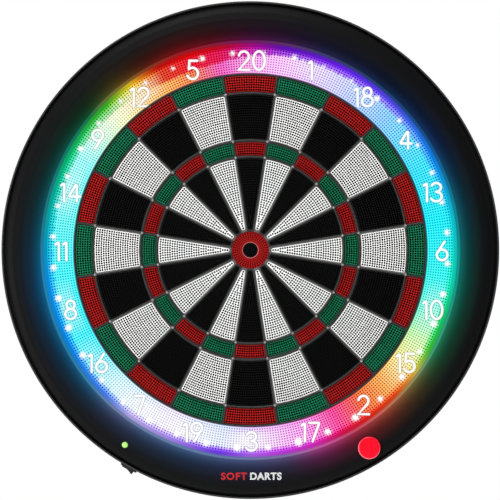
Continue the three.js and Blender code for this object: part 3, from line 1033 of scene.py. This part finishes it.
def make_web():
    """The web: one moulding with a rounded top, windows for the segments and a flange."""
    rounding = [(0.0, WEB_BASE), (0.0, WEB_FACE - 1.4), (0.2, WEB_FACE - 0.7)]
    rounding += [(0.55, WEB_FACE - 0.22), (0.95, WEB_FACE)]
    shell = Shell()
    windows = []
    for i in range(len(SECTOR_NUMBERS)):
        sine, cosine = polar(1.0, i * SECTOR_DEGREES)
        for inner, outer, *_ in BANDS.values():
            loops = []
            for by, height in rounding:
                tip = min(by, 0.6) if inner < 30 else by
                ends = (inner - CLEARANCE - tip, outer + CLEARANCE + by)
                outline = sector(*ends, SPOKE_WIDTH / 2 - by, SEGMENT_CORNER + by)
                outline = [(x * cosine + y * sine, y * cosine - x * sine) for x, y in outline]
                loops.append(shell.loop(outline, height))
            windows.append(loops)
    hub = OUTER_BULL[1] + CLEARANCE
    middle = [(hub, WEB_BASE), (hub, WEB_FACE - 0.6)]
    middle += [(hub + 0.1, WEB_FACE - 0.15), (hub + 0.3, WEB_FACE)]
    windows.append(shell.rings(middle, 96))
    for loops in windows:
        shell.stack(loops[::-1])
    flange_inner, flange_outer = WEB_FLANGE
    outside = [(flange_inner, WEB_BASE), (flange_inner, WEB_FLANGE_BASE)]
    outside += [(flange_outer, WEB_FLANGE_BASE), (flange_outer, WEB_BASE)]
    outside += [(WEB_OUTER, WEB_BASE + 0.1), (WEB_OUTER, WEB_FACE - 0.5)]
    outside += [(WEB_OUTER - 0.15, WEB_FACE - 0.15), (WEB_OUTER - 0.5, WEB_FACE)]
    around = shell.rings(outside, FINE)
    shell.stack(around)
    shell.skin(around[-1], [loops[-1] for loops in windows])
    shell.skin(around[0], [loops[0] for loops in windows], up=False)
    piece("web_moulding", shell, WEB_GREY, "case", "web_grey", "web")

    # Domes at the web's crossings, painted pale as glints.
    profile = [(0, 35.4), (1.4, 35.4), (1.4, 36.1), (1.2, 36.5), (0.8, 36.8), (0.4, 36.9), (0, 36.95)]
    dome = turned(profile, 16)
    inward = list(BANDS.values())
    domes = [
        dome.moved(*polar((nearer[1] + farther[0]) / 2, (i + 0.5) * SECTOR_DEGREES))
        for farther, nearer in reversed(list(zip(inward, inward[1:])))
        for i in range(len(SECTOR_NUMBERS))
    ]
    piece("web_nubs", joined(domes), NUB_PAINTED_GLINT, "case", "web_grey")


# ---- number ring and light guide


def make_number_ring():
    """The perforated ring: rows of holes in straight radial columns."""
    columns = 445
    rows = 10
    low, high = 199.2, 227.0
    hole = [(1.0, 0.0), (0.97, 1.6)]
    foot, lip, back = 22.0, 24.0, 31.8
    inner, outer = NUMBER_RING
    face = NUMBER_FACE
    shell = Shell()
    sides = 2 * columns
    pitch = (high - low) / rows
    grid = [shell.loop(circle(low + pitch * j / 2, sides), face) for j in range(2 * rows + 1)]
    for row in range(rows):
        radius = low + pitch * (row + 0.5)
        below, level, above = grid[2 * row : 2 * row + 3]
        for column in range(columns):
            a = 2 * column
            b = a + 1
            c = (a + 2) % sides
            angle = 2 * math.pi * b / sides
            centre = (radius * math.cos(angle), radius * math.sin(angle))
            cell = [above[b], above[c], level[c], below[c], below[b], below[a], level[a], above[a]]
            (top,) = shell.holes([centre], face, hole)
            start = nearest(shell, top, cell[0])
            shell.bridge(cell, top[start:] + top[:start], flat=True)
    outside = [(outer - 0.1, face - 0.1), (outer, face - 0.4), (outer, foot), (outer - 2, foot)]
    outside += [(outer - 2, back), (inner + 2, back), (inner + 2, lip), (inner, lip)]
    outside += [(inner, face - 0.6), (inner + 0.2, face - 0.1)]
    around = [grid[-1], *shell.rings(outside, sides), grid[0]]
    shell.stack(around[::-1])
    piece("number_ring_plate", shell, LIT_DIFFUSER, "case", "lit_diffuser", "number_ring")


def nearest(shell, loop, point):
    """Which point of a loop is nearest to another point."""
    there = np.array(shell.points[point])
    distances = [np.linalg.norm(np.array(shell.points[i]) - there) for i in loop]
    return int(np.argmin(distances))


def make_guide():
    """The clear ring round the number ring, its face sloping down to its inner edge."""
    inner, outer = GUIDE
    face = GUIDE_FACE
    corners = [(inner, 22.0, 0.3), (outer, 22.0, 0.3), (outer, face, 0.5)]
    corners += [(inner + 1.5, face - 0.5, 1.0), (inner, face - 1.5, 0.5)]
    profile = rounded(corners, 0)
    piece("light_guide", turned(profile), GUIDE_LIGHT, "case", "light_guide", "light_guide_ring")


# ---- numerals


def arc(centre, radii, start, end, steps=14):
    """Points along part of an ellipse, its angles in degrees anticlockwise from the right."""
    angles = [math.radians(start + (end - start) * i / steps) for i in range(steps + 1)]
    return [(centre[0] + radii[0] * math.cos(a), centre[1] + radii[1] * math.sin(a)) for a in angles]


# Each digit's width and strokes, on a height of 1.
DIGITS = {
    "0": (0.62, [arc((0.31, 0.5), (0.31, 0.5), 90, 450, 36)]),
    "1": (0.2, [[(0.0, 0.86), (0.17, 1.0), (0.17, 0.0)]]),
    "2": (0.58, [arc((0.28, 0.72), (0.27, 0.28), 168, -34) + [(0.0, 0.0), (0.58, 0.0)]]),
    "3": (0.56, [arc((0.26, 0.76), (0.26, 0.24), 155, -90), arc((0.26, 0.26), (0.3, 0.26), 90, -155)]),
    "4": (0.62, [[(0.44, 0.0), (0.44, 1.0), (0.0, 0.26), (0.62, 0.26)]]),
    "5": (0.56, [[(0.52, 1.0), (0.1, 1.0), (0.06, 0.56), *arc((0.26, 0.31), (0.3, 0.31), 130, -155)]]),
    "6": (0.58, [[(0.42, 1.0), (0.05, 0.42)], arc((0.29, 0.29), (0.29, 0.29), 0, 360, 32)]),
    "7": (0.54, [[(0.0, 1.0), (0.54, 1.0), (0.18, 0.0)]]),
    "8": (
        0.58,
        [arc((0.29, 0.77), (0.22, 0.23), -90, 270, 28), arc((0.29, 0.27), (0.29, 0.27), 90, 450, 32)],
    ),
    "9": (0.58, [[(0.53, 0.58), (0.16, 0.0)], arc((0.29, 0.71), (0.29, 0.29), 0, 360, 32)]),
}
NUMERAL_HEIGHT = 20.6
NUMERAL_STROKE = 2.9
NUMERAL_RADIUS = 213.0
NUMERAL_GAP = 4.4


def bead(path, width, rise):
    """A stroke along a path, oval in section, with round ends unless the path closes."""
    closed = (Vector(path[0]) - Vector(path[-1])).length < 1e-6
    if closed:
        path = path[:-1]
    points = [Vector(p) for p in path]
    count = len(points)
    shell = Shell()

    def ring(centre, across, reach):
        first = len(shell.points)
        for u, v in circle(reach, 12):
            side = centre + across * width / 2 * u
            shell.points.append((side.x, side.y, NUMBER_FACE + rise * v))
        return list(range(first, len(shell.points)))

    def cap(end, ahead, across, turns):
        """The rings that close a stroke, ahead of its end."""
        for turn in turns:
            sine, cosine = polar(1.0, turn)
            loops.append(ring(end + ahead * width / 2 * sine, across, cosine))

    loops = []
    for i, here in enumerate(points):
        before = (here - points[i - 1]).normalized() if i or closed else None
        after = (points[(i + 1) % count] - here).normalized() if i + 1 < count or closed else None
        before = before or after
        after = after or before
        bend = (before + after).normalized()
        across = Vector((-bend.y, bend.x))
        if not closed and i == 0:
            cap(here, -bend, across, (88, 60, 30))
        loops.append(ring(here, across / max(0.6, bend.dot(before)), 1))
        if not closed and i == count - 1:
            cap(here, bend, across, (30, 60, 88))
    if closed:
        loops.append(loops[0])
    else:
        shell.floor(loops[0])
        shell.lid(loops[-1])
    shell.stack(loops)
    return shell


def make_numerals():
    """Twenty upright numerals on the ring, drawn in thin round-ended strokes."""
    strokes = []
    edges = []
    for i, number in enumerate(SECTOR_NUMBERS):
        digits = [DIGITS[digit] for digit in str(number)]
        width = sum(w for w, _ in digits) * NUMERAL_HEIGHT + NUMERAL_GAP * (len(digits) - 1)
        x, y = polar(NUMERAL_RADIUS, i * SECTOR_DEGREES)
        x += 1.5 - width / 2
        y -= 1.0 + NUMERAL_HEIGHT / 2
        for digit_width, paths in digits:
            for path in paths:
                placed = [(x + px * NUMERAL_HEIGHT, y + py * NUMERAL_HEIGHT) for px, py in path]
                if len(path) < 5:
                    placed = rounded(placed, 0.9, closed=False)
                strokes.append(bead(placed, NUMERAL_STROKE, 0.6))
                # A wider, lower bead under each stroke: a painted shadow round the numeral.
                edges.append(bead(placed, NUMERAL_STROKE + 1.3, 0.2))
            x += digit_width * NUMERAL_HEIGHT + NUMERAL_GAP
    piece("numerals", joined(strokes), NUMERAL_LIGHT, "case", "lit_diffuser")
    piece("numeral_painted_shadows", joined(edges), NUMERAL_PAINTED_SHADOW, "case", "lit_diffuser")


# ---- case


def make_bezel():
    """The front ring: its hollow back first, then its crest from the outside in."""
    inner, outer = BEZEL
    crest = BEZEL_CREST
    back = [(inner, 22.5, 0), (inner + 2.5, 22.5, 0), (inner + 2.5, crest - 3.4, 0)]
    back += [(241.5, crest - 2.5, 1), (257.5, crest - 2.8, 4), (264.6, 37.9, 3), (268.9, 36.2, 2)]
    back += [(outer - 2.5, 33.4, 1), (outer - 2.5, 28.3, 0)]
    front = [(outer, 28.3, 0.3), (outer, 34.2, 2.5), (271, 37.4, 3), (266, 40, 6)]
    front += [(258, crest - 0.3, 8), (241, crest, 3), (237.4, crest - 0.8, 1.2)]
    front += [(inner, crest - 2.5, 0.6)]
    bezel = mesh_object("bezel", turned(rounded(back + front, 0, steps=5)))
    at = polar(*BUTTON_AT)
    collar = discs(14.2, 64, [at], 38, crest, 0.3)
    posts = discs(3.5, 24, SCREWS, 13.5, crest - 2)
    combined(bezel, "UNION", [*collar, *posts])
    funnel = [(0, 30), (12.9, 30), (12.9, crest - 0.35), (13.3, crest + 0.1), (13.3, 50), (0, 50)]
    lens_hole = discs(3.5, 32, [polar(*LENS_AT)], 30, 50)
    combined(bezel, "DIFFERENCE", [turned(funnel, 64).moved(*at), *lens_hole])
    finished(bezel, BEZEL_BLACK, "case", "case_black", "front_bezel")


def make_lettering():
    """Two plain words on the bottom of the bezel, the first red and the second white."""
    words = [("SOFT", -4.0, "RIGHT", 1.2, PRINT_RED), ("DARTS", -0.7, "LEFT", 1.1, PRINT_WHITE)]
    for word, x, align, spacing, look in words:
        text = bpy.data.curves.new(word, "FONT")
        text.body = word
        text.align_x = align
        text.size = 10.8 * MM
        text.offset = 0.42 * MM
        text.extrude = 0.3 * MM
        text.space_character = spacing
        source = new_object(word, text)
        mesh = evaluated_mesh(source)
        bpy.data.objects.remove(source)
        for vertex in mesh.vertices:
            u, v, w = vertex.co
            vertex.co = (u + x * MM, -w - (BEZEL_CREST - 0.25) * MM, v - LETTERING_BASE * MM)
        finished(new_object("lettering_" + word.lower(), mesh), look, "case", "case_black")


def rim_block(width, inner, outer, reach, edge=0.0, x=0.0):
    """A block across the rim at the power switch, which reaches as far forward as back."""
    outline = box_outline(width, outer - inner, (x, (inner + outer) / 2))
    return slab(outline, ROCKER_HEIGHT - reach, ROCKER_HEIGHT + reach, edge).at_clock(ROCKER_CLOCK)


def inlet_part(profile, sides):
    """A part turned round the power inlet's axis. Its heights are distances down the board."""
    return turned(profile, sides).along_y(-1).moved(0, 0, INLET_HEIGHT)


def make_housing():
    """The rear case, with its ribs, spacer posts, vents and recesses."""
    back = [(0, 0), (105, 0, 2.5), (112, RIM_BACK, 3), (262, RIM_BACK, 8), (271, 11.5, 8)]
    rim = [(276.6, 16.5, 6), (CASE_RADIUS, 21, 3), (CASE_RADIUS, 34, 0.6), (276.5, 34, 0.5)]
    rim += [(276.5, 28, 0.4), (266, 28, 0), (266, 26, 0), (274.5, 26, 0), (274.5, 20, 2)]
    within = [(270, 14, 5), (262, RIM_FLOOR, 5)]
    for inner, outer, top in ((229, 231.5, 19.7), (201.5, 204, 20.7)):
        within += [(outer, RIM_FLOOR, 0), (outer, top, 0), (inner, top, 0), (inner, RIM_FLOOR, 0)]
    within += [(113, RIM_FLOOR, 2), (106.5, 4, 2), (0, 4)]
    housing = mesh_object("housing", turned(rounded(back + rim + within, 0, closed=False)))

    spacers = discs(9, 48, PADS, 1.2, RIM_BACK + 1, 0.5)
    rib = slab(box_outline(2.2, 78, (0, 158)), RIM_BACK - 2, RIM_BACK + 1, 0.4)
    ribs = [rib.at_clock(11.25 + 22.5 * i) for i in range(16)]
    posts = discs(3, 16, [(-51, -61), (51, -61), (-51, 1), (51, 1)], 3, 5.9)
    post = discs(9, 32, [polar(*BUTTON_AT)], RIM_FLOOR - 1, 23.7)
    tunnel_radius, tunnel_start, tunnel_end = SCREW_TUNNEL
    bosses = discs(7, 32, SCREWS, tunnel_start + 1, tunnel_end, 0.4)
    combined(housing, "UNION", [*spacers, *ribs, *posts, *post, *bosses])
    combined(housing, "UNION", [slab(box_outline(28, 38, HANGER_AT, 3), 3, 11.7, 0.4)])

    screw_holes = discs(tunnel_radius, 32, SCREWS, tunnel_start, tunnel_end + 1)
    seat = slab(box_outline(60.8, 44.8, HANGER_AT, 3.2), -1, 2.1)
    slots = [
        slab(box_outline(34, 3, (side * 50, 34 - row * 7), 1.4), -1, 5)
        for side in (-1, 1)
        for row in range(5)
    ]
    inlet = [(0, 262), (5.9, 262), (5.9, 277), (7.2, 279.5), (7.2, 290), (0, 290)]
    well = discs(14, 48, [polar(*BUTTON_AT)], 25, 29)
    through = [rim_block(18, 255, 290, 5.4), inlet_part(inlet, 48)]
    combined(housing, "DIFFERENCE", [*screw_holes, seat, *slots, *through, *well])
    combined(housing, "DIFFERENCE", [slab(box_outline(24, 34, HANGER_AT, 2), 1, 10.2)])
    finished(housing, HOUSING_BLACK, "case", "case_black", "rear_housing")


def make_pads():
    """Rubber pads on the spacer posts, which rest on the wall."""
    pads = discs(8, 48, PADS, 0, 1.6, 0.4)
    piece("wall_pads", joined(pads), MAT_RUBBER, "case", "mat_rubber")


def make_screws():
    """Cross-head screws that hold the shells together, sunk in the back."""
    profile = [(0, 11.0), (2.2, 11.05), (3.1, 11.4), (3.6, 12.2)]
    profile += [(3.6, 13.3), (1.5, 13.4), (1.5, 21), (0, 22)]
    screw = mesh_object("screw", turned(profile, 32))
    for size in ((0.9, 4.2), (4.2, 0.9)):
        combined(screw, "DIFFERENCE", [slab(box_outline(*size), 9, 12.4)])
    base = screw.data
    shells = []
    for clock in SCREW_CLOCKS:
        shell = Shell()
        shell.points = np.array([(v.co.x / MM, v.co.z / MM, -v.co.y / MM) for v in base.vertices])
        shell.faces = [tuple(p.vertices) for p in base.polygons]
        shell.flat = [not p.use_smooth for p in base.polygons]
        shells.append(shell.at_clock(clock * 3).moved(*polar(SCREW_RADIUS, clock)))
    bpy.data.objects.remove(screw)
    piece("shell_screws", joined(shells), STEEL, "case", "steel")


def make_hanger():
    """The steel hanger plate and its keyhole."""
    keyhole = key_outline(60.0, 5.5, 2.7, 14.0)
    heights = height_range("hanger_plate")
    plate = slab(box_outline(60, 44, HANGER_AT, 3), *heights, 0.25, [keyhole])
    piece("hanger", plate, STEEL, "case", "steel", "hanger_plate")


def key_outline(y, head, shank, rise):
    """A keyhole: a round head below, and a narrow slot above with a round end."""
    opening = math.degrees(math.asin(shank / head))
    points = arc((0, y), (head, head), 90 + opening, 450 - opening, 28)
    return points + arc((0, y + rise), (shank, shank), 0, 180, 12)


# ---- controls


def make_button():
    face = BUTTON_FACE
    r = BUTTON_RADIUS
    corners = [(0, 36.2), (r, 36.2, 0), (r, face - 0.5, 0.8), (r - 1.2, face - 0.15, 1.0)]
    corners += [(r - 2.4, face - 0.1, 0.6), (0, face)]
    cap = turned(rounded(corners, 0, closed=False), 96)
    button = mesh_object("button", cap.moved(*polar(*BUTTON_AT)))
    tab = slab(box_outline(28.4, 12, (0, BUTTON_AT[0])), 36.2, 37.5, 0.2).at_clock(BUTTON_AT[1])
    combined(button, "UNION", [tab])
    finished(button, BUTTON_RED, "button", "button_red", "button_cap")


def make_lens():
    radius, dome_base, dome_height = 3.15, 41.4, 1.7
    profile = [(0, 34), (4.6, 34), (4.6, 36), (radius, 36), (radius, dome_base)]
    for angle in (20, 40, 60, 75):
        sine, cosine = polar(1.0, angle)
        profile.append((radius * cosine, dome_base + dome_height * sine))
    profile.append((0, dome_base + dome_height))
    lens = turned(profile, 48).moved(*polar(*LENS_AT))
    piece("power_lens", lens, POWER_LENS, "case", "led_lens", "power_led_lens")


def make_switch():
    """The rim's rocker switch: a framed body, and the rocker that tips in it."""
    plate = slab(box_outline(20, 12, (0, 0), 1.2), PLATE_BACK, PLATE_FACE, 0.35)
    plate = plate.along_y().moved(0, 0, ROCKER_HEIGHT).at_clock(ROCKER_CLOCK)
    holder = mesh_object("switch_frame", plate)
    combined(holder, "UNION", [rim_block(17.4, 263, 279.5, 5.1, 0.3)])
    combined(holder, "UNION", [rim_block(2, 259.5, 263.5, 0.4, x=x) for x in (-5, 0, 5)])
    combined(holder, "DIFFERENCE", [rim_block(15.8, 270, 290, 4.1)])
    finished(holder, SWITCH_BLACK, "case", "switch_black", "power_switch_body")

    wing = 7.2
    corners = [(-wing, 4), (-wing, -1), (-3.2, -5), (3.2, -5), (wing, -1), (wing, 4), (0, 2.5, 9)]
    rocker = slab(rounded(corners, 0.7), ROCKER_HEIGHT - 3.8, ROCKER_HEIGHT + 3.8, 0.3)
    rocker = rocker.at_clock(ROCKER_TILT).moved(0, PLATE_FACE - 1).at_clock(ROCKER_CLOCK)
    names = ("power_rocker", "switch_black", "power_switch_rocker")
    piece("switch_rocker", rocker, SWITCH_BLACK, *names)


def make_inlet():
    """The power inlet: a threaded barrel in the bottom of the rim, with its contact pin."""
    outline = [(0, 261), (5.2, 261)]
    for i in range(14):
        outline += [(5.2, 263 + i * 0.9), (5.5, 263.45 + i * 0.9)]
    outline += [(5.5, 277.2), (5.2, 277.6), (3.6, 277.6), (3.3, 277.3), (3.3, 268.1), (0, 268.1)]
    barrel = inlet_part(outline, 48)
    nut = inlet_part([(5.55, 263.3), (7.4, 263.3), (7.4, 265.3), (5.55, 265.3)], 6)
    pin = inlet_part([(0, 267.5), (0.9, 267.5), (0.9, 276.0), (0.5, 276.6), (0, 276.8)], 24)
    piece("inlet", barrel, SWITCH_BLACK, "case", "switch_black", "power_inlet")
    piece("inlet_pin_and_nut", joined([pin, nut]), STEEL, "case", "steel")


def make_led_packages():
    """Forty surface-mounted LEDs on the LED board, under the ring's white spots."""
    low = height_range("led_board")[1] + 0.05
    cup = slab(box_outline(5, 5, corner=0.3), low, low + 1.5, 0.12)
    lens = slab(circle(1.9, 20), low + 1.5, low + 1.7)
    package = joined([cup, lens]).moved(0, LED_RADIUS)
    packages = [package.at_clock(FIRST_LED + i * LED_STEP) for i in range(LED_COUNT)]
    piece("led_packages", joined(packages), BOARD_WHITE, "case", "board_white")


def finish_hidden_nodes():
    """The CAD nodes that stay: each gets its own finish, and the spring a mesh of its own."""
    finishes = {
        "led_board": CIRCUIT_BOARD,
        "main_board": CIRCUIT_BOARD,
        "rubber_mat": MAT_RUBBER,
        "switch_membrane": MEMBRANE_FILM,
        "backing_board": FIBRE_BOARD,
        "button_spring": STEEL,
        "button_switch": SWITCH_BLACK,
    }
    for name, look in finishes.items():
        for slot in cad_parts[name].material_slots:
            slot.material = look.material
    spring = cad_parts["button_spring"]
    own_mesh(spring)


# ---- stage


def soft_light(name, place, size, energy):
    """A round lamp that faces the board's middle."""
    lamp = bpy.data.lights.new(name, "AREA")
    lamp.shape = "DISK"
    lamp.size = size
    lamp.energy = energy
    obj = new_object(name, lamp)
    obj.location = place
    obj.rotation_euler = (-Vector(place)).to_track_quat("-Z", "Y").to_euler()


def make_stage():
    """A plain pale floor, soft lamps, and a white surround that lights mostly from behind."""
    slab_shell = turned([(0, -1), (4000, -1), (4000, 0), (0, 0)], 128)
    mesh = bpy.data.meshes.new("floor")
    points = (np.array(slab_shell.points) - (0, 0, FLOOR_DEPTH)) * MM
    mesh.from_pydata(points.tolist(), [], slab_shell.faces)
    pale = plastic("floor_pale", srgb(236, 236, 236), 0.9, grain=8, mottle=0.01, bump=0.0)
    mesh.materials.append(pale.material)
    new_object("floor", mesh)

    world = bpy.data.worlds.new("surround")
    world.use_nodes = True
    nodes = world.node_tree.nodes
    links = world.node_tree.links
    mix = nodes.new("ShaderNodeMixShader")
    split = nodes.new("ShaderNodeSeparateXYZ")
    fade = nodes.new("ShaderNodeMapRange")
    path = nodes.new("ShaderNodeLightPath")
    seen = nodes.new("ShaderNodeBackground")
    seen.inputs["Color"].default_value = WHITE
    fill = nodes["Background"]
    fill.inputs["Color"].default_value = (0.94, 0.97, 1.0, 1.0)
    for socket, value in (("From Min", -0.8), ("From Max", 0.6), ("To Min", 0.05), ("To Max", 0.9)):
        fade.inputs[socket].default_value = value
    links.new(nodes.new("ShaderNodeTexCoord").outputs["Generated"], split.inputs[0])
    links.new(split.outputs["Y"], fade.inputs["Value"])
    links.new(fade.outputs["Result"], fill.inputs["Strength"])
    links.new(path.outputs["Is Camera Ray"], mix.inputs[0])
    links.new(fill.outputs[0], mix.inputs[1])
    links.new(seen.outputs[0], mix.inputs[2])
    links.new(mix.outputs[0], nodes["World Output"].inputs[0])
    bpy.context.scene.world = world

    soft_light("key", (-0.5, -1.7, 2.3), 1.5, 62)
    soft_light("left", (-2.3, -1.5, -0.2), 1.3, 28)
    soft_light("back", (0.8, 2.2, 1.6), 1.6, 60)


def make_camera():
    """Straight on to the board, with a lens that fills the frame with it. Sizes in metres."""
    distance = 3.0
    rim_height = 0.031
    filled = 0.995
    aside, above = -0.0004, 0.0001
    lens = bpy.data.cameras.new("camera")
    lens.sensor_width = 36
    lens.lens = filled / 2 * lens.sensor_width * (distance - rim_height) / (CASE_RADIUS * MM)
    camera = new_object("camera", lens)
    camera.location = (aside, -distance, above)
    camera.rotation_euler = (math.pi / 2, 0, 0)
    bpy.context.scene.camera = camera
    bpy.context.scene.view_settings.view_transform = "Standard"


# ---- the board

make_camera()
make_stage()
make_segments()
make_bulls()
make_web()
make_number_ring()
make_guide()
make_numerals()
make_bezel()
make_lettering()
make_housing()
make_pads()
make_screws()
make_hanger()
make_button()
make_lens()
make_switch()
make_inlet()
make_led_packages()
finish_hidden_nodes()
